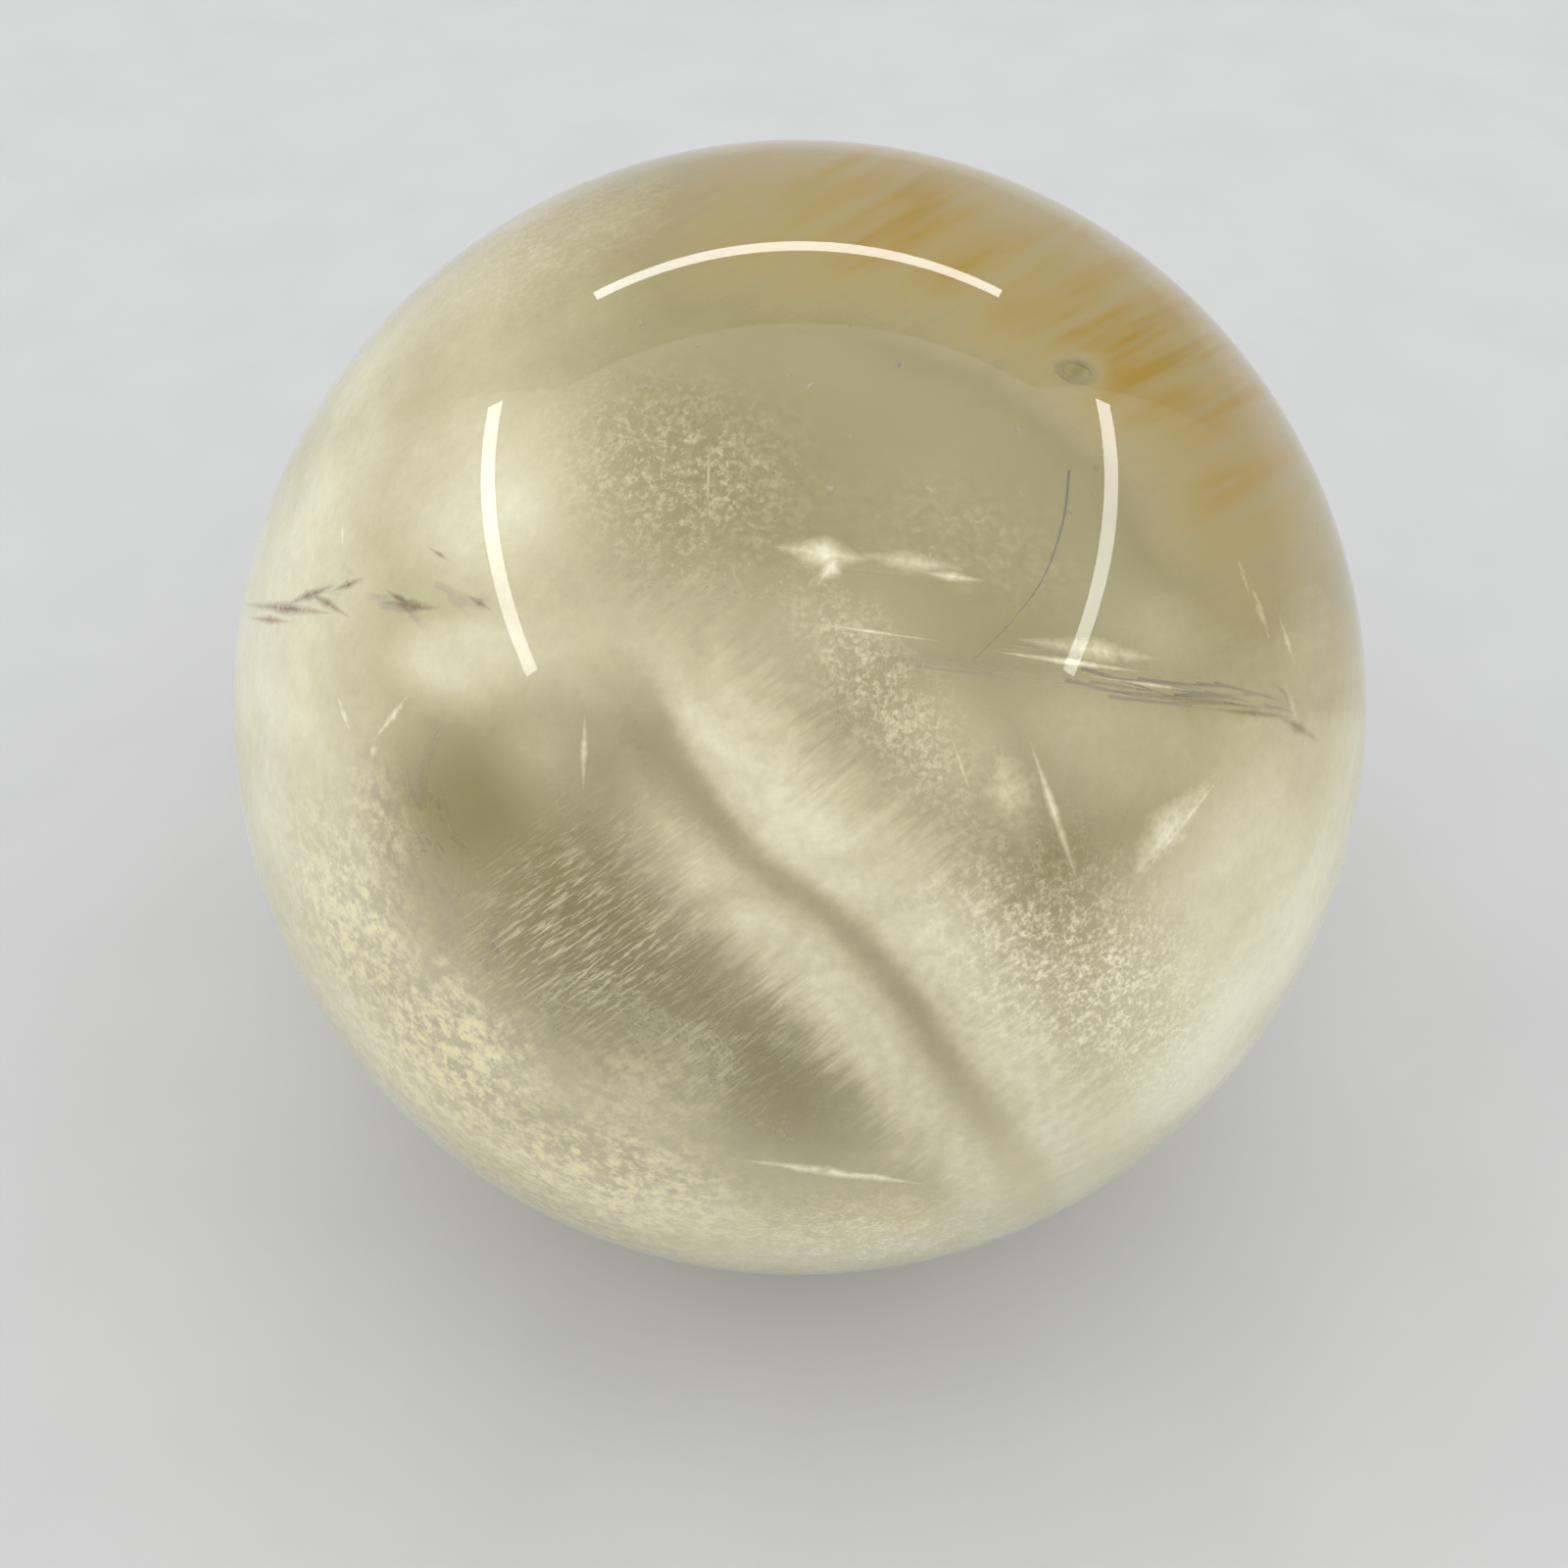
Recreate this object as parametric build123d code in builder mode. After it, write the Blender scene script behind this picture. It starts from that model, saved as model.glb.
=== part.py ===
"""A polished quartz ball, ground and lapped from one piece of crystal.

The frame's origin is the ball's centre, with +Z up. Millimetres.
"""

from build123d import *
import os

# Driving dimension
BALL_DIAMETER = 90.0

os.makedirs("parts", exist_ok=True)

# The ball is turned from a half disc whose straight side lies on the Z axis. It is solid all
# through: the veils and fractures inside are flaws in the crystal, not hollows or pieces.
with BuildPart() as quartz_sphere:
    with BuildSketch(Plane.XZ):
        with BuildLine():
            axis_side = Line((0, -BALL_DIAMETER / 2), (0, BALL_DIAMETER / 2))
            RadiusArc(axis_side @ 1, axis_side @ 0, BALL_DIAMETER / 2)
        make_face()
    revolve(axis=Axis.Z)

quartz_sphere.part.label = "quartz_sphere"
export_step(quartz_sphere.part, "parts/quartz_sphere.step")
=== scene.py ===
"""Looks of a polished ball of pale, partly milky quartz, built around its CAD frame.

Lengths are metres. The origin is the ball's centre, +Z is up, and the ball is looked at from -Y and above.
"""

import bmesh
import bpy
import math
import random
from mathutils import Matrix, Vector


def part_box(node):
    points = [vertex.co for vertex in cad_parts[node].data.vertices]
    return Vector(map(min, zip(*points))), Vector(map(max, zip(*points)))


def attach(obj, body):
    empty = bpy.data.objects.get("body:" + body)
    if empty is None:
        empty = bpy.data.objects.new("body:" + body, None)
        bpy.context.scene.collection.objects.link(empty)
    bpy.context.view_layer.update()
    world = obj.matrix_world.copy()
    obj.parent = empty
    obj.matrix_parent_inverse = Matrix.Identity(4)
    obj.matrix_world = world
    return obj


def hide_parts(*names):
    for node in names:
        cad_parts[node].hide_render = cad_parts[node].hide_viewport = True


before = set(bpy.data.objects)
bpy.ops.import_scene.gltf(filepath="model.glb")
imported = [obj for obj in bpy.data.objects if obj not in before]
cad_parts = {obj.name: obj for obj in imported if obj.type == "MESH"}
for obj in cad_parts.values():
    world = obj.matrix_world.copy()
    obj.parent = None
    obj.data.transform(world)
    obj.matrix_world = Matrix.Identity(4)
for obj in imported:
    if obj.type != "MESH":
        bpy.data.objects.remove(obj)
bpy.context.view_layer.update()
scene = bpy.context.scene
scene.view_settings.view_transform = "Standard"
scene.cycles.max_bounces = 7
scene.cycles.transparent_max_bounces = 16

# ---------------------------------------------------------------------------------------------------
# The viewer. Someone leans over the ball and looks at it from close by, about three radii away, so
# the outline takes up most of the frame. Flaws are placed by where this viewer sees them.
# ---------------------------------------------------------------------------------------------------
ball_low, ball_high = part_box("quartz_sphere")
BALL_RADIUS = (ball_high.z - ball_low.z) / 2
VIEW_DISTANCE = 2.949 * BALL_RADIUS
VIEW_PITCH = math.radians(48.4)
LENS_MM = 36.1
SENSOR_MM = 36.0
AIM_ACROSS = 0.0085
AIM_UP = 0.0431

forward = Vector((0, math.cos(VIEW_PITCH), -math.sin(VIEW_PITCH)))
upward = Vector((0, math.sin(VIEW_PITCH), math.cos(VIEW_PITCH)))
sideways = Vector((1, 0, 0))
to_ball = (forward + sideways * AIM_ACROSS + upward * AIM_UP).normalized()
eye = -to_ball * VIEW_DISTANCE

camera_data = bpy.data.cameras.new("viewer")
camera_data.lens = LENS_MM
camera_data.sensor_width = SENSOR_MM
camera_data.clip_start = 0.005
camera_data.clip_end = 20
camera = bpy.data.objects.new("viewer", camera_data)
camera.location = eye
camera.rotation_mode = "QUATERNION"
camera.rotation_quaternion = forward.to_track_quat("-Z", "Y")
scene.collection.objects.link(camera)
scene.camera = camera

QUARTZ_IOR = 1.544
OUTLINE_SLOPE = BALL_RADIUS / math.sqrt(VIEW_DISTANCE ** 2 - BALL_RADIUS ** 2)
SEEN_LIMIT = 0.975
lift = (upward - to_ball * upward.dot(to_ball)).normalized()
side = to_ball.cross(lift)


def inside(across, up, depth):
    """The point inside the ball that the viewer sees at across, up on its face, in shares of its radius,
    at that share of the way from the front face to the back along the line of sight bent by the quartz."""
    reach = math.hypot(across, up)
    if reach > SEEN_LIMIT:
        across, up = across * SEEN_LIMIT / reach, up * SEEN_LIMIT / reach
    aim = (to_ball + (side * across + lift * up) * OUTLINE_SLOPE).normalized()
    half = eye.dot(aim)
    front = eye + aim * (-half - math.sqrt(half * half - eye.dot(eye) + BALL_RADIUS ** 2))
    normal = front.normalized()
    squint = 1 / QUARTZ_IOR
    facing = -aim.dot(normal)
    bent = aim * squint + normal * (squint * facing - math.sqrt(1 - squint * squint * (1 - facing * facing)))
    return front + bent * (-2 * front.dot(bent) * depth)

# ---------------------------------------------------------------------------------------------------
# The table and the room: a pale floor that curves up into a backdrop, a soft sky that is brighter
# overhead, and three slim softboxes behind the ball and to its left and right.
# ---------------------------------------------------------------------------------------------------
FLOOR_HALF_WIDTH = 2.0
SWEEP_RADIUS = 0.5
WALL_HEIGHT = 2.0


def node(tree, kind, inputs=None, **settings):
    """Adds a shader node, sets its plain settings, and fills or links its inputs by name or number."""
    made = tree.nodes.new(kind)
    for name, value in settings.items():
        setattr(made, name, value)
    for name, value in (inputs or {}).items():
        if isinstance(value, bpy.types.NodeSocket):
            tree.links.new(value, made.inputs[name])
        else:
            made.inputs[name].default_value = value
    return made


def new_material(name):
    """A material with a bare node tree. Returns it with its tree and output node."""
    material = bpy.data.materials.new(name)
    material.use_nodes = True
    material.node_tree.nodes.clear()
    output = material.node_tree.nodes.new("ShaderNodeOutputMaterial")
    return material, material.node_tree, output


def link_mesh(name, bm, material, smooth=True):
    """Turns a finished bmesh into an object of that name and material."""
    mesh = bpy.data.meshes.new(name)
    for face in bm.faces:
        face.smooth = smooth
    bm.to_mesh(mesh)
    bm.free()
    mesh.materials.append(material)
    made = bpy.data.objects.new(name, mesh)
    scene.collection.objects.link(made)
    return made


def floor_finish():
    material, tree, output = new_material("pale_floor")
    where = node(tree, "ShaderNodeTexCoord")
    grain = node(tree, "ShaderNodeTexNoise", {
        "Vector": where.outputs["Object"], "Scale": 60.0, "Detail": 6.0})
    tone = node(tree, "ShaderNodeMix", {
        "Factor": grain.outputs["Fac"], "A": (0.60, 0.60, 0.60, 1), "B": (0.66, 0.66, 0.655, 1)},
        data_type="RGBA")
    shader = node(tree, "ShaderNodeBsdfPrincipled", {"Base Color": tone.outputs["Result"], "Roughness": 0.6})
    tree.links.new(shader.outputs[0], output.inputs["Surface"])
    return material


bm = bmesh.new()
front_edge = [bm.verts.new((x, -FLOOR_HALF_WIDTH, ball_low.z)) for x in (-FLOOR_HALF_WIDTH, FLOOR_HALF_WIDTH)]
profile = bm.edges.new(front_edge)
run = bmesh.ops.extrude_edge_only(bm, edges=[profile])["geom"]
bmesh.ops.translate(bm, verts=[v for v in run if isinstance(v, bmesh.types.BMVert)],
                    vec=(0, FLOOR_HALF_WIDTH + 1.0, 0))
bmesh.ops.spin(bm, geom=[e for e in run if isinstance(e, bmesh.types.BMEdge)],
               cent=(0, 1.0, ball_low.z + SWEEP_RADIUS), axis=(1, 0, 0), dvec=(0, 0, 0),
               angle=math.radians(90), steps=24, use_merge=False)
top = sorted(bm.edges, key=lambda e: (e.verts[0].co + e.verts[1].co).z)[-1]
rise = bmesh.ops.extrude_edge_only(bm, edges=[top])["geom"]
bmesh.ops.translate(bm, verts=[v for v in rise if isinstance(v, bmesh.types.BMVert)], vec=(0, 0, WALL_HEIGHT))
bmesh.ops.recalc_face_normals(bm, faces=bm.faces)
floor = link_mesh("floor", bm, floor_finish())

world = bpy.data.worlds.new("soft_sky")
scene.world = world
world.use_nodes = True
sky = world.node_tree
sky_place = node(sky, "ShaderNodeTexCoord")
sky_height = node(sky, "ShaderNodeSeparateXYZ", {"Vector": sky_place.outputs["Generated"]})
sky_glow = node(sky, "ShaderNodeMapRange", {
    "Value": sky_height.outputs["Z"], "From Min": 0.1, "From Max": 0.95, "To Min": 0.55, "To Max": 1.25},
    interpolation_type="SMOOTHSTEP")
sky.nodes["Background"].inputs["Color"].default_value = (0.98, 0.99, 1.0, 1)
sky.links.new(sky_glow.outputs[0], sky.nodes["Background"].inputs["Strength"])


def softbox(name, place, width, height, power):
    """A rectangular soft lamp that faces the ball."""
    data = bpy.data.lights.new(name, "AREA")
    data.shape = "RECTANGLE"
    data.size = width
    data.size_y = height
    data.energy = power
    lamp = bpy.data.objects.new(name, data)
    lamp.location = place
    lamp.rotation_mode = "QUATERNION"
    lamp.rotation_quaternion = (-Vector(place)).to_track_quat("-Z", "Y")
    scene.collection.objects.link(lamp)


softbox("back_softbox", (0, 0.72, 0.60), 0.9, 0.045, 0.8)
softbox("left_softbox", (-0.78, 0.05, 0.60), 0.9, 0.045, 0.8)
softbox("right_softbox", (0.78, 0.05, 0.60), 0.9, 0.045, 0.8)

# ---------------------------------------------------------------------------------------------------
# The ball: one lump of pale straw-coloured quartz, ground round between cups and polished. It is
# clear enough to see into, and the stone's own colour deepens with the depth looked through.
# ---------------------------------------------------------------------------------------------------
def calc(tree, operation, first, second=0.0, clamp=False):
    """One Math node, returned as its output."""
    made = node(tree, "ShaderNodeMath", {0: first, 1: second}, operation=operation, use_clamp=clamp)
    return made.outputs[0]


def ramp(tree, value, stops):
    """A smooth curve of grey levels through (position, level) stops."""
    made = node(tree, "ShaderNodeValToRGB", {"Fac": value})
    made.color_ramp.interpolation = "B_SPLINE"
    elements = made.color_ramp.elements
    while len(elements) < len(stops):
        elements.new(0.5)
    for element, (place, level) in zip(elements, stops):
        element.position = place
        element.color = (level, level, level, 1)
    return made.outputs["Color"]


def noise(tree, vector, scale, detail=3.0, roughness=0.6, stretch=(1, 1, 1), turn=0.0, shift=(0, 0, 0)):
    """Grain from 0 to 1, stretched along the mapped axes so that it can read as fibres."""
    mapped = node(tree, "ShaderNodeMapping", {
        "Vector": vector, "Scale": tuple(1 / k for k in stretch), "Rotation": (0, 0, turn),
        "Location": shift}, vector_type="TEXTURE")
    made = node(tree, "ShaderNodeTexNoise", {
        "Vector": mapped.outputs[0], "Scale": scale, "Detail": detail, "Roughness": roughness})
    return made.outputs["Fac"]


def spread(tree, value, low, high, to_low=0.0, to_high=1.0):
    """Stretches a range of grain to another range, clamped."""
    made = node(tree, "ShaderNodeMapRange", {"Value": value, "From Min": low, "From Max": high,
                                             "To Min": to_low, "To Max": to_high}, clamp=True)
    return made.outputs[0]


STRAW = (0.97, 0.95, 0.72)
MILK = (0.94, 0.845, 0.48)
WHITE_MILK = (0.95, 0.915, 0.66)
GOLD = (0.42, 0.255, 0.022)
RUST = (0.22, 0.085, 0.035)
FLAKE_GOLD = (0.93, 0.84, 0.44)
# Round the rim, the strength of the milk and of the gold by direction, anticlockwise from the right in
# steps of 30 degrees.
RIM_MILK = (0.46, 0.10, 0.02, 0.14, 0.40, 0.66, 0.70, 0.50, 0.48, 0.46, 0.52, 0.74, 0.50)
RIM_GOLD = (0.30, 0.90, 1.0, 0.90, 0.22, 0.0, 0.0, 0.0, 0.0, 0.0, 0.0, 0.0, 0.10)
RIM_START = 0.50
RIM_FULL = 0.95
GOLD_START = 0.58
GOLD_FULL = 0.84
BASE_MILK = 0.13
# Each oval is its centre, its radii, its turn in degrees and its strength, all on the ball's face.
CLEAR_OVALS = (((-0.18, 0.46), (0.30, 0.22), -20, 0.65), ((-0.60, -0.16), (0.17, 0.15), -40, 0.70),
               ((-0.34, -0.38), (0.26, 0.22), 20, 0.60), ((-0.02, -0.66), (0.18, 0.15), 0, 0.50),
               ((0.42, -0.25), (0.08, 0.06), 0, 0.60), ((0.487, 0.60), (0.05, 0.035), 0, 0.9))
MILK_OVALS = (((-0.60, 0.40), (0.38, 0.32), 45, 0.58), ((-0.58, 0.11), (0.34, 0.15), 0, 0.54),
              ((-0.46, -0.03), (0.12, 0.17), 10, 0.26), ((0.28, -0.06), (0.24, 0.16), -50, 0.24),
              ((0.84, -0.24), (0.05, 0.09), 10, 0.45), ((0.60, -0.06), (0.34, 0.18), -15, 0.26),
              ((0.72, 0.14), (0.28, 0.14), -12, 0.26), ((0.05, 0.16), (0.26, 0.12), -10, 0.22),
              ((0.60, -0.62), (0.22, 0.14), 40, 0.40), ((-0.30, -0.68), (0.14, 0.12), 0, 0.26))
MOTTLE_OVALS = (((0.50, -0.44), (0.34, 0.20), -38, 0.55), ((0.16, 0.02), (0.32, 0.10), -55, 0.42),
                ((-0.20, 0.42), (0.26, 0.20), -20, 0.34), ((-0.42, 0.84), (0.34, 0.12), 28, 0.16),
                ((0.12, -0.93), (0.34, 0.10), 0, 0.35), ((0.30, 0.30), (0.28, 0.14), -20, 0.14))
DRIFT_OVALS = (((-0.78, -0.38), (0.12, 0.26), 20, 0.75), ((-0.62, -0.60), (0.15, 0.26), 42, 1.0),
               ((-0.36, -0.82), (0.30, 0.12), -18, 0.95), ((-0.74, -0.20), (0.07, 0.14), 10, 0.55),
               ((-0.28, -0.66), (0.16, 0.14), 0, 0.35))
HAIR_OVALS = (((-0.36, -0.38), (0.26, 0.22), 25, 1.0), ((-0.12, -0.58), (0.22, 0.16), 10, 0.5),
              ((0.36, -0.52), (0.10, 0.08), 0, 0.4))
# Painted glints of the cracks close under the skin: pale marks in the milk that stand for light caught by
# the wedge and slats on the right, the level break, the chip and its feather, the blades by the right rim,
# the low blade, and the spikes and the V on the left.
# They are listed by the way they lie, in degrees: centre, half length, half width, strength.
CRACK_GLINTS = ((52, (((0.66, -0.20), 0.33, 0.095, 0.84), ((0.68, -0.19), 0.25, 0.016, 1.0),
                ((0.060, 0.262), 0.065, 0.034, 0.95), ((-0.716, 0.000), 0.11, 0.016, 1.0))),
          (-71, (((0.45, -0.16), 0.28, 0.020, 0.80), ((0.37, -0.13), 0.34, 0.20, 0.60),
                 ((0.29, -0.09), 0.20, 0.016, 0.70), ((0.81, 0.19), 0.17, 0.022, 0.80),
                 ((0.78, 0.25), 0.12, 0.014, 0.85), ((0.86, 0.13), 0.14, 0.016, 0.80),
                 ((0.87, 0.02), 0.14, 0.020, 0.75), ((-0.803, 0.008), 0.11, 0.014, 1.0))),
          (-8, (((0.045, 0.285), 0.12, 0.046, 0.95), ((0.20, 0.270), 0.24, 0.060, 0.62),
                ((0.27, 0.245), 0.12, 0.020, 0.75), ((0.53, 0.115), 0.30, 0.055, 0.70),
                ((0.48, 0.095), 0.20, 0.012, 0.95), ((0.12, 0.150), 0.30, 0.010, 0.75),
                ((0.62, 0.055), 0.30, 0.010, 0.70), ((0.05, -0.812), 0.30, 0.020, 1.0),
                ((0.14, -0.822), 0.18, 0.014, 1.0))),
          (88, (((-0.853, 0.29), 0.09, 0.013, 1.0), ((-0.80, 0.32), 0.09, 0.011, 0.95),
                ((-0.895, 0.25), 0.08, 0.011, 0.95), ((-0.75, -0.06), 0.08, 0.040, 0.75),
                ((-0.377, -0.06), 0.17, 0.018, 0.72), ((-0.156, 0.42), 0.24, 0.010, 0.48))))
# Iron stain that crept along the level break, listed in the same way.
STAINS = ((-6, (((-0.90, 0.19), 0.10, 0.016, 0.95), ((-0.68, 0.195), 0.07, 0.018, 0.85),
                ((0.68, 0.03), 0.26, 0.012, 0.75), ((0.80, 0.005), 0.15, 0.012, 0.70),
                ((-0.93, 0.17), 0.05, 0.012, 0.9))),
          (-32, (((-0.83, 0.20), 0.06, 0.012, 0.95), ((-0.70, 0.207), 0.04, 0.010, 0.9),
                 ((-0.56, 0.20), 0.04, 0.012, 0.75), ((-0.63, 0.285), 0.04, 0.008, 0.75),
                 ((0.88, -0.02), 0.07, 0.020, 0.75))),
          (22, (((-0.86, 0.213), 0.06, 0.013, 0.95), ((-0.79, 0.232), 0.045, 0.012, 0.85))))
VEIL_CREASE = ((-0.80, 0.56), (-0.66, 0.44), (-0.54, 0.31), (-0.42, 0.19), (-0.30, 0.07), (-0.20, -0.10),
               (-0.10, -0.24), (0.04, -0.34), (0.13, -0.43), (0.20, -0.52), (0.30, -0.67), (0.39, -0.79),
               (0.44, -0.90))
VEIL_STRENGTH = (0.30, 0.50, 0.58, 0.6, 0.75, 0.90, 1.0, 1.0, 1.0, 1.0, 1.0, 0.95, 0.7)


def along(stops, share):
    """The value a share of the way along a smooth run of stops, which are numbers or tuples of numbers."""
    place = min(max(share, 0.0), 0.99999) * (len(stops) - 1)
    i = int(place)
    f = place - i
    near = [stops[max(0, min(len(stops) - 1, i + k))] for k in (-1, 0, 1, 2)]
    if not isinstance(near[0], tuple):
        near = [(value,) for value in near]
    mixed = tuple(b + 0.5 * f * (c - a + f * (2 * a - 5 * b + 4 * c - d + f * (3 * (b - c) + d - a)))
                  for a, b, c, d in zip(*near))
    return mixed if len(mixed) > 1 else mixed[0]


def seen_at(point):
    """Where the viewer sees a point of the skin, in shares of the outline's radius."""
    ahead = (VIEW_DISTANCE + point.dot(to_ball)) * OUTLINE_SLOPE
    return point.dot(side) / ahead, point.dot(lift) / ahead


def rim_at(across, up, strengths, start, full):
    """How strongly the rim's milk or gold shows there, from none at start to all at full."""
    near = min(1.0, max(0.0, (math.hypot(across, up) - start) / (full - start)))
    turn = math.atan2(up, across) / (2 * math.pi) % 1.0
    return near * near * (3 - 2 * near) * along(strengths, turn)


def ovals_at(across, up, ovals):
    """The strongest of some soft ovals on the ball's face, there."""
    best = 0.0
    for (middle, middle_up), (wide, tall), turn, strength in ovals:
        c, s = math.cos(math.radians(turn)), math.sin(math.radians(turn))
        x, y = across - middle, up - middle_up
        near = max(0.0, 1.3 - math.hypot((x * c + y * s) / wide, (y * c - x * s) / tall))
        best = max(best, strength * min(1.0, near) ** 1.5)
    return best


crease_run = [along(VEIL_CREASE, i / 96) for i in range(97)]


def veil_at(across, up):
    """How far along the veil's crease a point of the face is, how far right of it, and the strength."""
    gaps = [math.hypot(across - x, up - y) for x, y in crease_run]
    i = min(range(97), key=gaps.__getitem__)
    (x0, y0), (x1, y1) = crease_run[max(0, i - 1)], crease_run[min(96, i + 1)]
    run = math.hypot(x1 - x0, y1 - y0)
    offset = ((across - crease_run[i][0]) * (y0 - y1) + (up - crease_run[i][1]) * (x1 - x0)) / run
    slip = abs((across - crease_run[i][0]) * (x1 - x0) + (up - crease_run[i][1]) * (y1 - y0)) / run
    return i / 96, offset, along(VEIL_STRENGTH, i / 96) * max(0.0, 1 - slip / 0.06)


def attribute(tree, name):
    """The three numbers of one of the skin's attributes, as shader outputs."""
    parts = node(tree, "ShaderNodeSeparateXYZ", {"Vector": node(
        tree, "ShaderNodeAttribute", attribute_name=name).outputs["Vector"]})
    return parts.outputs["X"], parts.outputs["Y"], parts.outputs["Z"]


def spindles(tree, face, families):
    """Slim pointed marks on the ball's face, in families that lie the same way."""
    nearest = 1.0
    for turn, places in families:
        c, s = math.cos(math.radians(turn)), math.sin(math.radians(turn))
        turned = node(tree, "ShaderNodeMapping", {"Vector": face, "Rotation": (0, 0, -math.radians(turn))})
        for (across, up), length, width, strength in places:
            scaled = node(tree, "ShaderNodeVectorMath", {
                0: turned.outputs[0], 1: (1 / length, 1 / width, -3),
                2: (-(across * c + up * s) / length, (across * s - up * c) / width, 1 - strength)},
                operation="MULTIPLY_ADD")
            reach = node(tree, "ShaderNodeVectorMath", {0: scaled.outputs[0]}, operation="ABSOLUTE")
            gap = node(tree, "ShaderNodeVectorMath", {0: reach.outputs[0], 1: (1, 1, 1)},
                       operation="DOT_PRODUCT")
            nearest = calc(tree, "MINIMUM", gap.outputs["Value"], nearest)
    return spread(tree, nearest, 1.0, 0.15)


def polished_quartz():
    """The skin carries the milk, the gold, the fine flaws close under it and painted crack glints, over clear
    stone.
    """
    material, tree, output = new_material("polished_quartz")
    where = node(tree, "ShaderNodeTexCoord").outputs["Object"]
    face = node(tree, "ShaderNodeAttribute", attribute_name="face").outputs["Vector"]
    milk, gold, mottle = attribute(tree, "zones")
    wisps = noise(tree, where, 45.0, 3.0, 0.62, (1.0, 1.0, 1.7), 0.5)
    grain = noise(tree, where, 1100.0, 2.0, 0.8)
    bands = noise(tree, face, 3.2, 3.0, 0.65, (0.6, 4.0, 1.0), math.radians(28))
    skin = calc(tree, "MULTIPLY", milk, spread(tree, wisps, 0.28, 0.70, 0.70, 1.25))
    skin = calc(tree, "MULTIPLY", skin, spread(tree, grain, 0.3, 0.7, 0.94, 1.05))
    gold = calc(tree, "MULTIPLY", gold, spread(tree, bands, 0.32, 0.62, 0.62, 1.0), True)
    drift, hairs, clear = attribute(tree, "marks")
    share, offset, strength = attribute(tree, "veil")
    lumps = noise(tree, where, 850.0, 3.0, 0.75)
    dust = noise(tree, where, 2600.0, 2.0, 0.7)
    feathers = noise(tree, face, 6.0, 3.0, 0.70, (1.1, 9.0, 1.0), math.radians(38))
    billows = noise(tree, face, 4.0, 2.0, 0.55, (1.0, 1.0, 1.0), 0.7)
    skin = calc(tree, "MULTIPLY", skin, calc(tree, "SUBTRACT", 1.0, clear))
    gold = calc(tree, "MULTIPLY", gold, calc(tree, "SUBTRACT", 1.0, clear))

    shake = calc(tree, "ADD", calc(tree, "MULTIPLY", calc(tree, "SUBTRACT", feathers, 0.5), 0.15),
                 calc(tree, "MULTIPLY", calc(tree, "SUBTRACT", billows, 0.5), 0.12))
    outer = spread(tree, calc(tree, "ABSOLUTE", offset), 0.04, 0.16)
    offset = calc(tree, "ADD", offset, calc(tree, "MULTIPLY", shake, calc(tree, "ADD", outer, 0.08)))
    folded = ramp(tree, spread(tree, offset, -0.30, 0.40), (
        (0.06, 0.0), (0.16, 0.20), (0.24, 0.70), (0.33, 0.86), (0.385, 0.66), (0.42, 0.30), (0.455, 0.34),
        (0.49, 0.86), (0.55, 0.95), (0.64, 0.82), (0.74, 0.60), (0.90, 0.0)))
    hump = ramp(tree, spread(tree, offset, -0.30, 0.40), (
        (0.10, 0.0), (0.26, 0.55), (0.36, 0.95), (0.50, 0.85), (0.60, 0.40), (0.80, 0.0)))
    left = calc(tree, "MAXIMUM", spread(tree, share, 0.36, 0.50), spread(tree, offset, -0.03, 0.03))
    upper = spread(tree, share, 0.28, 0.38)
    profile = calc(tree, "ADD", calc(tree, "MULTIPLY", calc(tree, "MULTIPLY", folded, left), upper),
                   calc(tree, "MULTIPLY", hump, calc(tree, "SUBTRACT", 1.0, upper)))
    band = calc(tree, "MULTIPLY", calc(tree, "MULTIPLY", profile, strength),
                spread(tree, billows, 0.30, 0.70, 0.80, 1.08))
    band = calc(tree, "MULTIPLY", band, spread(tree, grain, 0.3, 0.7, 0.88, 1.06))
    skin = calc(tree, "SMOOTH_MAX", skin, band)

    flecks = spread(tree, calc(tree, "ADD", calc(tree, "MULTIPLY", dust, 0.6),
                               calc(tree, "MULTIPLY", lumps, 0.4)), 0.46, 0.66)
    skin = calc(tree, "ADD", skin, calc(tree, "MULTIPLY", mottle, flecks))
    flakes = spread(tree, calc(tree, "ADD", calc(tree, "MULTIPLY", lumps, 0.6),
                               calc(tree, "MULTIPLY", grain, 0.4)), 0.44, 0.62)
    shed = calc(tree, "MULTIPLY", drift, flakes)
    skin = calc(tree, "ADD", skin, calc(tree, "MULTIPLY", shed, 0.60))
    # Painted glints: the cracks under the skin are drawn as pale milk marks that stand for the light they
    # catch.
    painted_crack_glints = calc(tree, "MULTIPLY", spindles(tree, face, CRACK_GLINTS), spread(tree, grain, 0.30, 0.62, 0.65, 1.0))
    skin = calc(tree, "MAXIMUM", skin, painted_crack_glints)
    lines = noise(tree, face, 18.0, 3.0, 0.8, (1.0, 8.0, 1.0), math.radians(36))
    lines = calc(tree, "MULTIPLY", spread(tree, lines, 0.49, 0.62),
                 spread(tree, billows, 0.35, 0.6, 0.4, 1.0))
    skin = calc(tree, "ADD", skin, calc(tree, "MULTIPLY", calc(tree, "MULTIPLY", lines, hairs), 0.50), True)
    stains = calc(tree, "MULTIPLY", spindles(tree, face, STAINS), spread(tree, dust, 0.3, 0.55, 0.5, 1.0))

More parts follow.
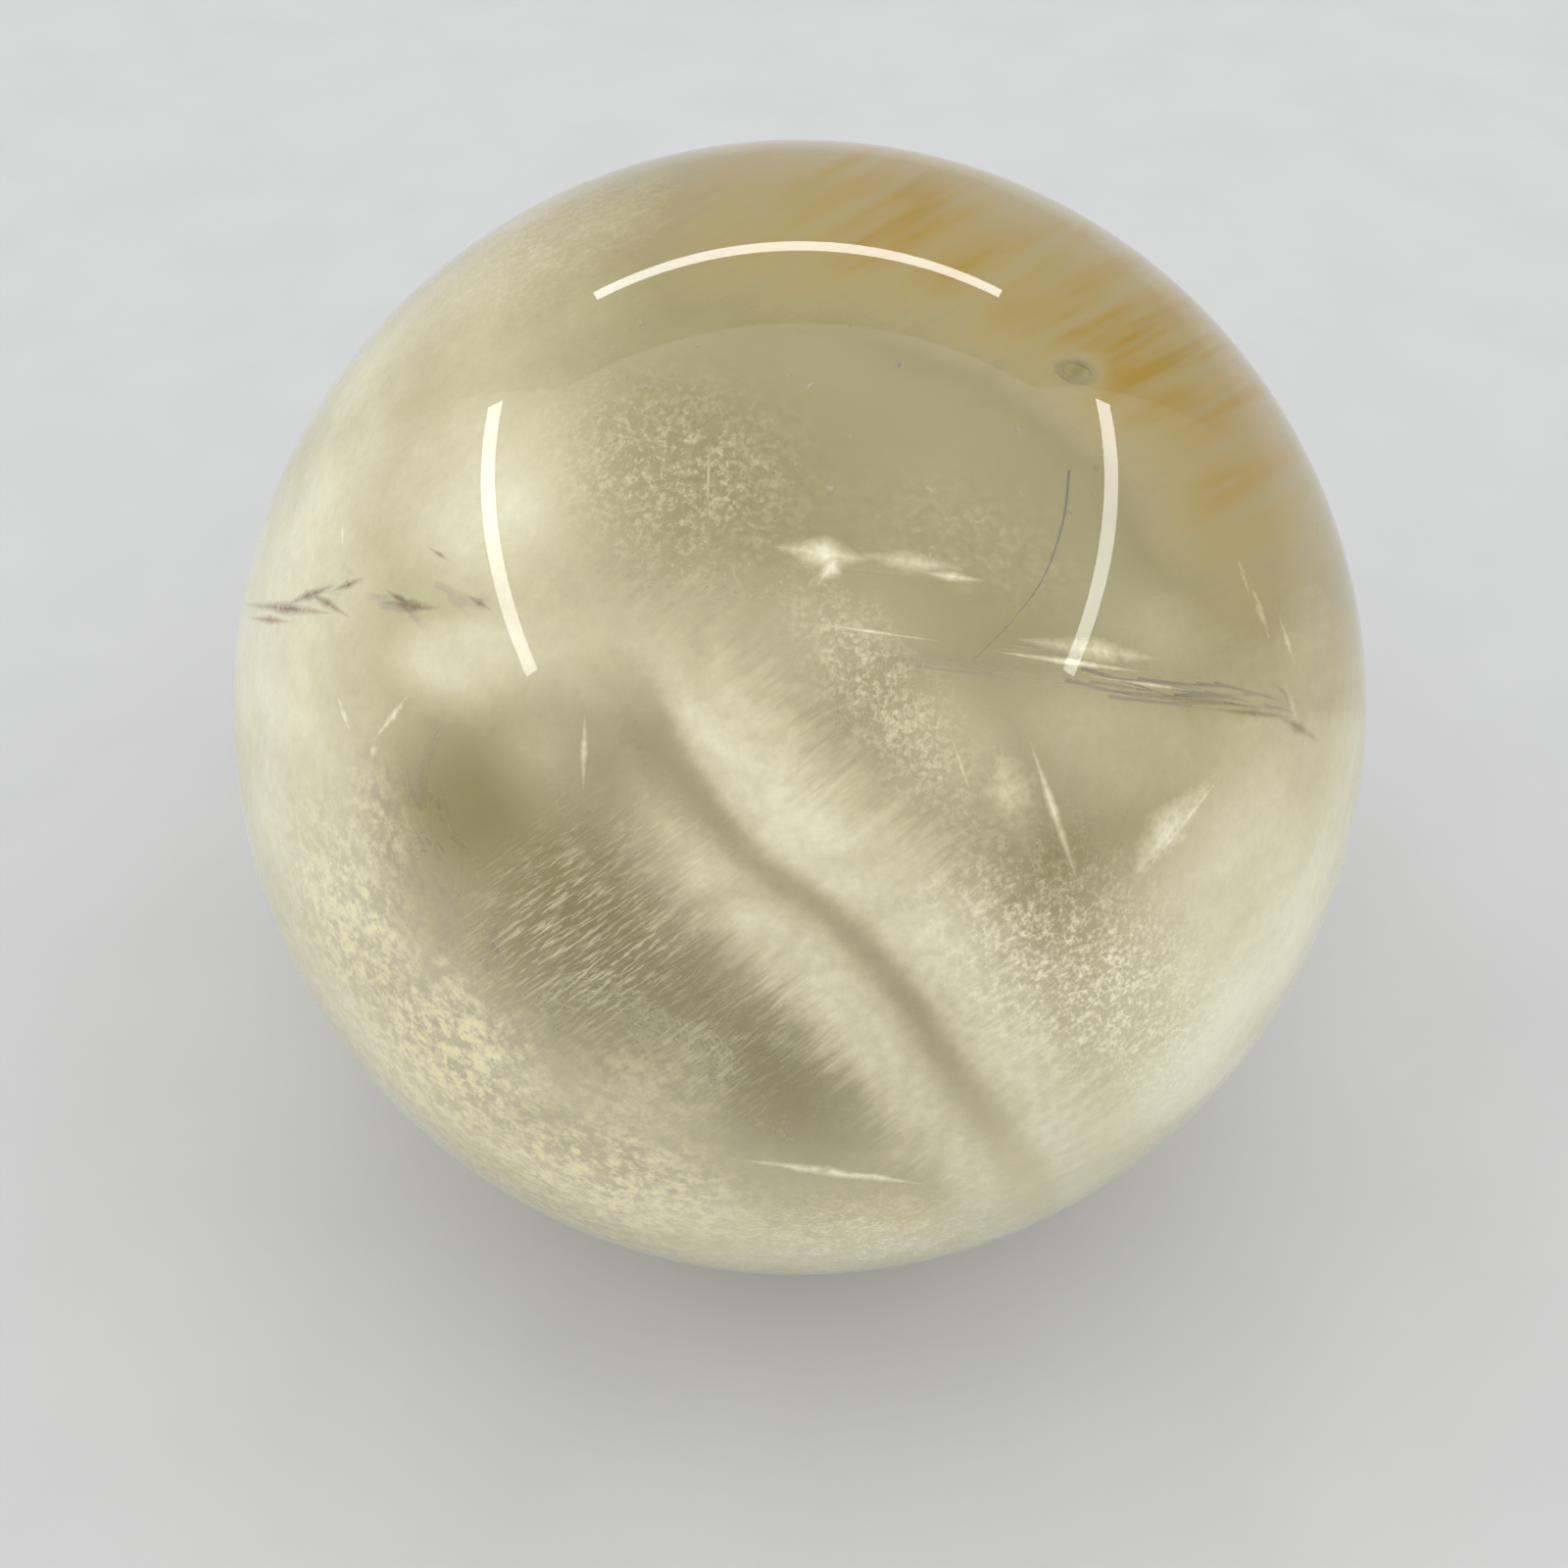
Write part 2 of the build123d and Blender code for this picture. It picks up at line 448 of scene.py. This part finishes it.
    skin = calc(tree, "MAXIMUM", skin, calc(tree, "MULTIPLY", gold, 0.84))
    colour = node(tree, "ShaderNodeMix", {"Factor": skin, "A": (*STRAW, 1), "B": (*MILK, 1)},
                  data_type="RGBA").outputs["Result"]
    layers = [(spread(tree, skin, 0.45, 0.80), WHITE_MILK), (gold, GOLD)]
    skin = calc(tree, "MAXIMUM", skin, calc(tree, "MULTIPLY", stains, 0.75))
    layers += [(shed, FLAKE_GOLD), (calc(tree, "MULTIPLY", stains, 0.85), RUST)]
    for cover, tone in layers:
        colour = node(tree, "ShaderNodeMix", {"Factor": cover, "A": colour, "B": (*tone, 1)},
                      data_type="RGBA").outputs["Result"]
    shader = node(tree, "ShaderNodeBsdfPrincipled", {
        "Base Color": colour, "Roughness": 0.0, "IOR": QUARTZ_IOR,
        "Transmission Weight": calc(tree, "SUBTRACT", 1.0, skin, True)})
    depth_tint = node(tree, "ShaderNodeVolumeAbsorption", {"Color": (0.81, 0.765, 0.44, 1), "Density": 42.0})
    tree.links.new(shader.outputs[0], output.inputs["Surface"])
    tree.links.new(depth_tint.outputs[0], output.inputs["Volume"])
    return material


bm = bmesh.new()
bmesh.ops.create_icosphere(bm, subdivisions=7, radius=BALL_RADIUS)
ball = link_mesh("polished_ball", bm, polished_quartz())
skin_data = {name: ball.data.attributes.new(name, "FLOAT_VECTOR", "POINT").data
             for name in ("face", "zones", "marks", "veil")}
for vert in ball.data.vertices:
    point = vert.co
    facing = (eye - point).dot(point) / BALL_RADIUS ** 2
    front = min(1.0, max(0.0, facing * 4))
    behind = 1 / (1 + 2.5 * max(0.0, -facing))
    across, up = seen_at(point)
    i = vert.index
    skin_data["face"][i].vector = (across, up, 0.0 if front else -1.0)
    skin_data["zones"][i].vector = (
        BASE_MILK + max(behind * rim_at(across, up, RIM_MILK, RIM_START, RIM_FULL),
                        front * ovals_at(across, up, MILK_OVALS)),
        behind * rim_at(across, up, RIM_GOLD, GOLD_START, GOLD_FULL),
        front * ovals_at(across, up, MOTTLE_OVALS))
    if front:
        skin_data["marks"][i].vector = (front * ovals_at(across, up, DRIFT_OVALS),
                                        front * ovals_at(across, up, HAIR_OVALS),
                                        front * ovals_at(across, up, CLEAR_OVALS))
        share, offset, strength = veil_at(across, up)
        skin_data["veil"][i].vector = (share, offset, strength * front)
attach(ball, "root")
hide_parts("quartz_sphere")

# ---------------------------------------------------------------------------------------------------
# The main veil: a milky band of fine fluid-filled cracks that healed as the crystal grew. It falls
# from upper left to lower right in two feathered lobes with a darker crease between. The skin shows
# its glow, and two thin sheets one behind another give it depth.
# ---------------------------------------------------------------------------------------------------
VEIL_LAYERS = 2
VEIL_STEP = 0.07
VEIL_LEFT = (0.12, 0.12, 0.12, 0.14, 0.20, 0.23, 0.24, 0.24, 0.24, 0.24, 0.22, 0.20, 0.18)
VEIL_RIGHT = (0.14, 0.14, 0.14, 0.18, 0.26, 0.28, 0.28, 0.28, 0.26, 0.24, 0.22, 0.20, 0.18)


def sheet(name, length_steps, width_steps, shape, material):
    """A thin curved sheet inside the ball. shape(s, t) gives across, up and depth, s and t from 0 to 1."""
    bm = bmesh.new()
    bm.loops.layers.uv.new("UVMap")
    bmesh.ops.create_grid(bm, x_segments=length_steps, y_segments=width_steps, size=0.5, calc_uvs=True)
    for vert in bm.verts:
        vert.co = inside(*shape(vert.co.x + 0.5, vert.co.y + 0.5))
    made = link_mesh(name, bm, material)
    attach(made, "root")
    return made


def flaw_shader(material_parts, colour, cover, roughness=0.8):
    """Finishes a flaw's material: a pale solid colour that covers only where cover says."""
    material, tree, output = material_parts
    shader = node(tree, "ShaderNodeBsdfPrincipled", {"Roughness": roughness, "IOR": 1.3, "Alpha": cover})
    if isinstance(colour, tuple):
        shader.inputs["Base Color"].default_value = (*colour, 1)
    else:
        tree.links.new(colour, shader.inputs["Base Color"])
    tree.links.new(shader.outputs[0], output.inputs["Surface"])
    return material


def veil_finish(name, layer, strength):
    parts = new_material(name)
    tree = parts[1]
    where = node(tree, "ShaderNodeTexCoord")
    uv = where.outputs["UV"]
    split = node(tree, "ShaderNodeSeparateXYZ", {"Vector": uv})
    fibres = noise(tree, uv, 5.0, 5.0, 0.65, (9.0, 0.8, 1), 0.0, (layer * 3.1, layer, 0))
    wander = calc(tree, "MULTIPLY", calc(tree, "SUBTRACT", fibres, 0.5), 0.30)
    across = calc(tree, "ADD", split.outputs["Y"], wander)
    body = ramp(tree, across, ((0.02, 0.0), (0.16, 0.55), (0.30, 1.0), (0.40, 0.60), (0.47, 0.05),
                               (0.53, 0.10), (0.60, 1.0), (0.70, 0.80), (0.84, 0.35), (0.97, 0.0)))
    ends = ramp(tree, split.outputs["X"], ((0.0, 0.0), (0.20, 0.4), (0.45, 0.9), (0.62, 1.0), (0.94, 1.0),
                                           (1.0, 0.2)))
    cover = calc(tree, "MULTIPLY", calc(tree, "MULTIPLY", body, ends), strength)
    return flaw_shader(parts, (0.95, 0.94, 0.84), cover)


for layer in range(VEIL_LAYERS):
    def veil_shape(s, t, layer=layer):
        across, up = along(VEIL_CREASE, s)
        ahead, ahead_up = along(VEIL_CREASE, min(1.0, s + 0.02))
        back, back_up = along(VEIL_CREASE, max(0.0, s - 0.02))
        run = math.hypot(ahead - back, ahead_up - back_up)
        out = (-(ahead_up - back_up) / run, (ahead - back) / run)
        offset = (t - 0.5) * 2
        reach = offset * (along(VEIL_RIGHT, s) if offset > 0 else along(VEIL_LEFT, s)) * 1.08
        fold = 0.05 * math.exp(-(offset / 0.22) ** 2) + 0.02 * math.sin(9 * s + 2.5 * layer) * (0.4 + t)
        depth = 0.14 + VEIL_STEP * layer + 0.10 * abs(offset) * 0.6 + fold
        return across + out[0] * reach, up + out[1] * reach, depth

    sheet(f"main_veil_{layer + 1}", 90, 40, veil_shape, veil_finish(f"milky_veil_{layer + 1}", layer, 0.8))

# ---------------------------------------------------------------------------------------------------
# Mottled clouds: crowds of tiny flakes with clear stone between, beside the veil and above it.
# ---------------------------------------------------------------------------------------------------
CHUNK = 400
PALE_FLAKE = (0.95, 0.94, 0.84)
UNDER_SKIN = 0.988 * BALL_RADIUS


def flake_finish(name, colour, roughness=0.35, cover=1.0):
    """A solid little flake. Its tone wanders with place, so that no two neighbours match."""
    parts = new_material(name)
    tree = parts[1]
    where = node(tree, "ShaderNodeTexCoord")
    patchy = noise(tree, where.outputs["Object"], 700.0, 2.0)
    dark = tuple(c * 0.72 for c in colour)
    tone = node(tree, "ShaderNodeMix", {"Factor": patchy, "A": (*dark, 1), "B": (*colour, 1)},
                data_type="RGBA")
    return flaw_shader(parts, tone.outputs["Result"], cover, roughness)


def kept_under_skin(bm):
    """Draws in any corner that would stick out through the polished skin."""
    for vert in bm.verts:
        vert.co *= min(1.0, UNDER_SKIN / vert.co.length)


def scatter(name, seed, count, place, material, size, slim=(1.0, 1.0), heading=None, sway=0.15):
    """Many small pyramids. place(chance) gives across, up and depth; size is a range of lengths; slim gives
    their width and thickness as shares of that; heading(across, up) is their angle, or they lie anyhow."""
    chance = random.Random(seed)
    whole = bmesh.new()
    for start in range(0, count, CHUNK):
        bm = bmesh.new()
        for _ in range(min(CHUNK, count - start)):
            across, up, depth = place(chance)
            length = BALL_RADIUS * chance.uniform(*size)
            if heading is None:
                turn = Matrix.Rotation(chance.uniform(0, 6.283), 3, Vector(
                    (chance.gauss(0, 1), chance.gauss(0, 1), chance.gauss(0, 1))).normalized())
            else:
                angle = heading(across, up) + chance.gauss(0, sway)
                long_way = side * math.cos(angle) + lift * math.sin(angle) + to_ball * chance.gauss(0, sway)
                long_way.normalize()
                thin_way = (to_ball - long_way * to_ball.dot(long_way)).normalized()
                turn = Matrix((thin_way.cross(long_way), thin_way, long_way)).transposed()
            form = Matrix.Diagonal((length * slim[0], length * slim[1], length)).to_3x3()
            place_matrix = Matrix.Translation(inside(across, up, depth)) @ (turn @ form).to_4x4()
            bmesh.ops.create_cone(bm, cap_ends=True, cap_tris=False, segments=4, radius1=0.5, radius2=0.0,
                                  depth=1.0, matrix=place_matrix)
        part = bpy.data.meshes.new("part")
        bm.to_mesh(part)
        bm.free()
        whole.from_mesh(part)
        bpy.data.meshes.remove(part)
    kept_under_skin(whole)
    made = link_mesh(name, whole, material, smooth=False)
    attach(made, "root")
    return made


def oval(centre, radii, turn, depths, core=0.55):
    """Chance places in an oval on the ball's face, thicker towards its middle."""
    c, s = math.cos(math.radians(turn)), math.sin(math.radians(turn))

    def place(chance):
        reach = chance.random() ** core
        angle = chance.uniform(0, 2 * math.pi)
        x, y = radii[0] * reach * math.cos(angle), radii[1] * reach * math.sin(angle)
        return centre[0] + x * c - y * s, centre[1] + x * s + y * c, chance.uniform(*depths)
    return place


speck = flake_finish("pale_specks", PALE_FLAKE)
MOTTLES = (("right", (0.52, -0.42), (0.36, 0.20), -38, 500),
           ("beside_veil", (0.14, 0.00), (0.34, 0.10), -52, 300),
           ("above", (-0.20, 0.42), (0.24, 0.17), -20, 300))
for name, centre, radii, turn, count in MOTTLES:
    scatter(f"mottle_{name}", len(name), count, oval(centre, radii, turn, (0.03, 0.30)), speck,
            (0.002, 0.005), (0.6, 0.35))

# ---------------------------------------------------------------------------------------------------
# Hair striations: fine silvery growth tubes, all parallel, in the clear stone left of the veil.
# ---------------------------------------------------------------------------------------------------
STRIATION_ANGLE = math.radians(31)
silver = flake_finish("silver_hairs", (0.92, 0.90, 0.80), 0.2)
scatter("hair_striations", 5, 260, oval((-0.34, -0.40), (0.34, 0.20), 20, (0.10, 0.26), 0.6), silver,
        (0.012, 0.065), (0.05, 0.05), lambda across, up: STRIATION_ANGLE, 0.05)
scatter("hair_striations_low", 6, 250, oval((-0.22, -0.60), (0.34, 0.17), 0, (0.10, 0.26), 0.6), silver,
        (0.010, 0.045), (0.07, 0.05), lambda across, up: STRIATION_ANGLE + 0.2, 0.12)

# ---------------------------------------------------------------------------------------------------
# Flake drift: a dense drift of cream and yellow flakes round the lower left, close under the skin.
# ---------------------------------------------------------------------------------------------------
DRIFT = ((-0.90, -0.15), (-0.84, -0.34), (-0.74, -0.50), (-0.60, -0.66), (-0.42, -0.78), (-0.20, -0.86),
         (0.04, -0.88))


def drift_place(chance):
    s = chance.random()
    across, up = along(DRIFT, s)
    return (across * (1 - 0.16 * chance.random()) + chance.gauss(0, 0.05),
            up * (1 - 0.10 * chance.random()) + chance.gauss(0, 0.05), chance.uniform(0.06, 0.24))


def drift_heading(across, up):
    return math.atan2(up, across) + math.radians(62)


cream_flake = flake_finish("cream_flakes", (0.94, 0.90, 0.68), 0.3)
scatter("flake_drift", 7, 1100, drift_place, cream_flake, (0.010, 0.040), (0.45, 0.10), drift_heading, 0.45)

# ---------------------------------------------------------------------------------------------------
# The dome: a rounded, feathery healed crack low on the left, like a little shell.
# ---------------------------------------------------------------------------------------------------
DOME_CENTRE = (-0.37, -0.66)


def dome_place(chance):
    angle = math.radians(chance.uniform(-25, 175))
    reach = 0.13 + 0.06 * chance.random() + 0.02 * math.sin(5 * angle)
    return (DOME_CENTRE[0] + 1.25 * reach * math.cos(angle), DOME_CENTRE[1] + reach * math.sin(angle),
            chance.uniform(0.02, 0.08))


def dome_heading(across, up):
    return math.atan2(up - DOME_CENTRE[1], across - DOME_CENTRE[0]) + math.radians(105)


scatter("feather_dome", 8, 1200, dome_place, cream_flake, (0.008, 0.030), (0.20, 0.08), dome_heading, 0.40)

# ---------------------------------------------------------------------------------------------------
# Cracks: flat breaks inside the stone, filled with air. They show as pale glassy planes with one
# bright edge: a blade low down, a wedge and two slats right, a chip above the middle, facets left. Their
# pale streaky fill is painted reflection over the streaks of the break, and the bright edge is a painted
# glint.
# ---------------------------------------------------------------------------------------------------
def crack_glint_finish(name, colour, fill, rim):
    """Nearly clear inside, with fine streaks; the pale colour is painted reflection and the brighter edge a
    painted glint.
    """
    parts = new_material(name)
    tree = parts[1]
    where = node(tree, "ShaderNodeTexCoord")
    split = node(tree, "ShaderNodeSeparateXYZ", {"Vector": where.outputs["UV"]})
    ends = calc(tree, "PINGPONG", split.outputs["X"], 0.5)
    streaks = noise(tree, where.outputs["UV"], 3.0, 4.0, 0.7, (1.0, 7.0, 1))
    torn_ends = calc(tree, "ADD", ends, calc(tree, "MULTIPLY", streaks, 0.2))
    fade = calc(tree, "MULTIPLY", spread(tree, torn_ends, 0.08, 0.34),
                spread(tree, split.outputs["Y"], 0.0, 0.5))
    # Painted glint: the cover rises along one edge to draw the crack's bright edge of reflected light.
    line = spread(tree, split.outputs["Y"], 0.86, 0.97, 0.0, rim)
    cover = calc(tree, "ADD", calc(tree, "MULTIPLY", spread(tree, streaks, 0.35, 0.65), fill), line)
    return flaw_shader(parts, colour, calc(tree, "MULTIPLY", cover, fade, True), 0.15)


def crack(name, corners, material, bow=0.02, steps=24):
    """A bowed four-cornered crack. Corners go round it as (across, up, depth)."""
    def shape(s, t):
        low = [a + (b - a) * s for a, b in zip(corners[0], corners[1])]
        high = [a + (b - a) * s for a, b in zip(corners[3], corners[2])]
        across, up, depth = [a + (b - a) * t for a, b in zip(low, high)]
        return across, up, depth + bow * math.sin(math.pi * s) * math.sin(math.pi * t)
    return sheet(name, steps, steps, shape, material)


# The pale colours of these cracks are painted reflection of light off the air-filled breaks.
pale_crack = crack_glint_finish("pale_crack", (0.96, 0.95, 0.86), 0.75, 1.0)
bright_crack = crack_glint_finish("bright_crack", (0.97, 0.96, 0.88), 0.95, 1.0)
yellow_crack = crack_glint_finish("yellow_crack", (0.93, 0.87, 0.52), 0.9, 0.9)
faint_crack = crack_glint_finish("faint_crack", (0.95, 0.93, 0.80), 0.45, 0.9)
crack("low_blade",
      ((-0.20, -0.795, 0.12), (0.29, -0.838, 0.12), (0.29, -0.832, 0.14), (-0.20, -0.822, 0.14)),
      yellow_crack, 0.0)
crack("right_wedge",
      ((0.52, -0.37, 0.30), (0.84, -0.06, 0.22), (0.86, -0.16, 0.20), (0.66, -0.30, 0.26)),
      pale_crack)
crack("right_slat_1",
      ((0.27, 0.03, 0.34), (0.33, 0.05, 0.34), (0.53, -0.36, 0.30), (0.49, -0.37, 0.30)),
      faint_crack)
crack("right_slat_2",
      ((0.42, 0.06, 0.30), (0.46, 0.06, 0.30), (0.56, -0.33, 0.30), (0.53, -0.37, 0.30)),
      pale_crack)
crack("chip",
      ((-0.07, 0.32, 0.16), (0.07, 0.31, 0.15), (0.07, 0.25, 0.15), (0.03, 0.24, 0.17)),
      bright_crack, 0.01)
crack("chip_feather",
      ((0.08, 0.33, 0.18), (0.34, 0.27, 0.20), (0.33, 0.23, 0.20), (0.06, 0.26, 0.18)),
      pale_crack)
crack("level_break",
      ((-0.12, 0.17, 0.26), (0.72, 0.06, 0.26), (0.88, 0.00, 0.22), (0.10, 0.10, 0.34)),
      pale_crack)
crack("level_break_2",
      ((0.32, 0.15, 0.22), (0.66, 0.09, 0.24), (0.70, 0.07, 0.26), (0.34, 0.12, 0.24)),
      bright_crack)
crack("left_facet_1",
      ((-0.82, -0.05, 0.16), (-0.72, 0.06, 0.20), (-0.70, -0.24, 0.20), (-0.74, -0.26, 0.18)),
      pale_crack)
crack("left_facet_2",
      ((-0.70, -0.16, 0.20), (-0.60, 0.12, 0.22), (-0.58, 0.12, 0.22), (-0.69, -0.20, 0.20)),
      bright_crack)
crack("left_facet_3",
      ((-0.84, 0.10, 0.14), (-0.76, 0.16, 0.16), (-0.74, -0.12, 0.20), (-0.75, -0.16, 0.18)),
      faint_crack)
crack("left_lobe_edge",
      ((-0.47, 0.13, 0.26), (-0.40, 0.02, 0.27), (-0.39, -0.22, 0.27), (-0.42, -0.16, 0.27)),
      faint_crack)

# ---------------------------------------------------------------------------------------------------
# Rust: iron stain that crept along the level break, as brown feathery marks at its left end and
# long streaks at its right end.
# ---------------------------------------------------------------------------------------------------
rust = flake_finish("iron_rust", (0.30, 0.115, 0.045), 0.7)
RUST_HEADING = math.radians(-16)
for name, seed, count, middle, radii, turn in (
        ("rust_feathers", 11, 22, (-0.90, 0.195), (0.09, 0.022), 4),
        ("rust_feathers_top", 12, 12, (-0.82, 0.225), (0.06, 0.022), 20),
        ("rust_arrow", 13, 14, (-0.69, 0.195), (0.05, 0.016), -8),
        ("rust_dashes", 14, 8, (-0.57, 0.20), (0.04, 0.02), -20)):
    scatter(name, seed, count, oval(middle, radii, turn, (0.02, 0.05)), rust, (0.02, 0.075), (0.16, 0.05),
            lambda across, up: RUST_HEADING, 0.35)
scatter("rust_streaks", 15, 26, oval((0.72, 0.035), (0.20, 0.022), -5, (0.04, 0.10)), rust, (0.03, 0.15),
        (0.04, 0.03), lambda across, up: math.radians(-6), 0.07)
scatter("rust_streaks_end", 16, 14, oval((0.88, -0.01), (0.05, 0.05), -5, (0.03, 0.08)), rust, (0.02, 0.08),
        (0.05, 0.03), lambda across, up: math.radians(-30), 0.4)

# ---------------------------------------------------------------------------------------------------
# Yellow splinters: thin shards of stone stained bright yellow by iron, healed into the quartz beside
# the left facets.
# ---------------------------------------------------------------------------------------------------
ochre = flake_finish("yellow_splinters", (0.95, 0.86, 0.45), 0.3)
scatter("yellow_splinters", 14, 70, oval((-0.70, -0.24), (0.16, 0.12), -40, (0.12, 0.18)), ochre,
        (0.02, 0.09), (0.22, 0.08), lambda across, up: math.radians(115), 0.5)

# ---------------------------------------------------------------------------------------------------
# Small single flaws: a dark hair-like crack, a little golden ring, and a few bubbles under the skin.
# The bubbles are white flecks that are painted highlights.
# ---------------------------------------------------------------------------------------------------
HAIR = ((0.475, 0.43), (0.465, 0.34), (0.43, 0.24), (0.37, 0.16), (0.31, 0.10))
dark_hair = flake_finish("dark_hair", (0.20, 0.16, 0.09), 0.5)


def hair_shape(s, t):
    across, up = along(HAIR, s)
    return across + (t - 0.5) * 0.005, up + (t - 0.5) * 0.003, 0.10


sheet("hair_crack", 60, 2, hair_shape, dark_hair)

RING_RADIUS = 0.020 * BALL_RADIUS
RING_THICKNESS = 0.0098 * BALL_RADIUS
RING_PLACE = (0.487, 0.60, 0.02)
bm = bmesh.new()
ring_wire = Matrix.Translation((RING_RADIUS, 0, 0)) @ Matrix.Rotation(math.radians(90), 4, "X")
bmesh.ops.create_circle(bm, segments=8, radius=RING_THICKNESS / 2, matrix=ring_wire)
bmesh.ops.spin(bm, geom=bm.verts[:] + bm.edges[:], cent=(0, 0, 0), axis=(0, 0, 1), dvec=(0, 0, 0),
               angle=math.radians(360), steps=28, use_merge=True)
bmesh.ops.recalc_face_normals(bm, faces=bm.faces)
ring_facing = to_ball.to_track_quat("Z", "Y").to_matrix().to_4x4()
place_matrix = Matrix.Translation(inside(*RING_PLACE)) @ ring_facing
bmesh.ops.scale(bm, verts=bm.verts, vec=(1.3, 0.8, 1.0))
bmesh.ops.transform(bm, matrix=place_matrix, verts=bm.verts)
kept_under_skin(bm)
golden_ring = link_mesh("golden_ring", bm, flake_finish("gold_stain", (0.85, 0.60, 0.15), 0.4))
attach(golden_ring, "root")

# Painted highlights: the bubbles are drawn as white, glossy flecks standing for the light they catch.
painted_highlight_bubbles = flake_finish("painted_highlight_bubbles", (1, 1, 0.97), 0.1)
scatter("bubbles", 21, 40, oval((0.2, 0.5), (0.75, 0.42), -20, (0.02, 0.10)), painted_highlight_bubbles,
        (0.006, 0.014), (0.9, 0.9))
